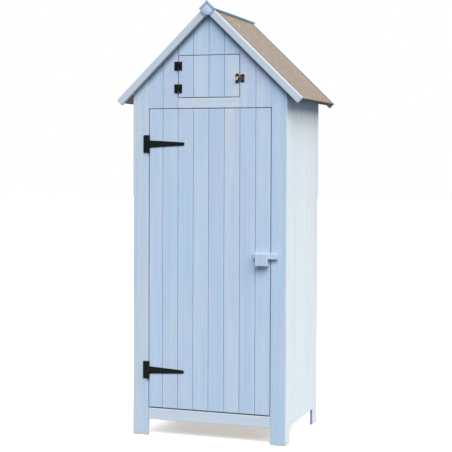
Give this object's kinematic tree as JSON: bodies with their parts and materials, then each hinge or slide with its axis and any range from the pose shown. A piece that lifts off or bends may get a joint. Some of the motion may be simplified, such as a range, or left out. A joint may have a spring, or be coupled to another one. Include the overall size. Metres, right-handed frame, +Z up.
{
  "type": "garden storage cabinet",
  "caption": "Tall narrow timber garden store with a pitched felt roof, a long ledged door with strap hinges, a small hatch in the gable, half-width shelves and a loft.",
  "frame": {"origin": "centre of the footprint, on the ground", "axes": "+X to the right as one faces the door, +Y to the back, +Z up; the front faces -Y"},
  "size_m": [0.787, 0.54, 1.7708],
  "materials": {
    "painted_board": "thin pale blue stain, satin",
    "bare_board": "planed, untreated",
    "dark_board": "dark stain, weathered",
    "black_iron": "black coated, satin",
    "aged_bronze": "darkened, satin",
    "mineral_felt": "bitumen felt with fine stone granules, matt"
  },
  "bodies": {
    "cabinet": {"front_left_stile": "painted_board", "front_right_stile": "painted_board", "front_bottom_rail": "painted_board", "hatch_sill_rail": "painted_board", "left_gable_boards": "painted_board", "right_gable_boards": "painted_board", "top_gable_boards": "painted_board", "left_side_boards": "painted_board", "right_side_boards": "painted_board", "back_boards": "painted_board", "door_header": "painted_board", "door_stop": "painted_board", "hatch_frame": "painted_board", "front_left_bargeboard": "painted_board", "front_right_bargeboard": "painted_board", "back_left_bargeboard": "painted_board", "back_right_bargeboard": "painted_board", "left_ridge_cap": "painted_board", "right_ridge_cap": "painted_board", "front_apex_plate": "painted_board", "back_apex_plate": "painted_board", "corner_posts": "bare_board", "side_wall_battens": "bare_board", "back_wall_battens": "bare_board", "floor_boards": "bare_board", "floor_bearers": "bare_board", "loft_boards": "bare_board", "shelf_uprights": "bare_board", "shelf_cleats": "bare_board", "lower_shelf": "bare_board", "middle_shelf": "bare_board", "upper_shelf": "bare_board", "rafters": "bare_board", "left_roof_boards": "dark_board", "right_roof_boards": "dark_board", "upper_hinge_plate": "black_iron", "lower_hinge_plate": "black_iron", "door_hinge_pins": "black_iron", "hatch_hinge_plates": "black_iron", "hatch_hinge_pins": "black_iron", "cabinet_screws": "black_iron", "hatch_strike_plate": "aged_bronze", "left_roof_felt": "mineral_felt", "right_roof_felt": "mineral_felt"},
    "main_door": {"door_boards": "painted_board", "door_ledges": "painted_board", "door_braces": "painted_board", "upper_hinge_strap": "black_iron", "lower_hinge_strap": "black_iron", "door_screws": "black_iron", "latch_catch": "painted_board", "latch_dowel": "bare_board"},
    "latch_bar": {"latch_bar": "painted_board"},
    "hatch": {"hatch_boards": "painted_board", "hatch_battens": "painted_board", "hatch_hinge_leaves": "black_iron", "hatch_latch_plate": "aged_bronze", "hatch_screws": "black_iron"},
    "hatch_knob": {"hatch_turn_knob": "aged_bronze"}
  },
  "joints": [
    {"name": "main_door_hinge", "type": "hinge", "parent": "cabinet", "child": "main_door", "pos_m": [-0.2575, -0.249, 0.7345], "axis": [0, 0, -1], "range_deg": [0, 175]},
    {"name": "latch_bar_pivot", "type": "hinge", "parent": "main_door", "child": "latch_bar", "pos_m": [0.216, -0.2505, 0.7535], "axis": [0, -1, 0], "range_deg": [0, 90]},
    {"name": "hatch_hinge", "type": "hinge", "parent": "cabinet", "child": "hatch", "pos_m": [-0.13075, -0.2472, 1.4665], "axis": [0, 0, -1], "range_deg": [0, 120]},
    {"name": "hatch_knob_turn", "type": "hinge", "parent": "hatch", "child": "hatch_knob", "pos_m": [0.121, -0.248, 1.458], "axis": [0, -1, 0], "range_deg": [0, 90]}
  ]
}
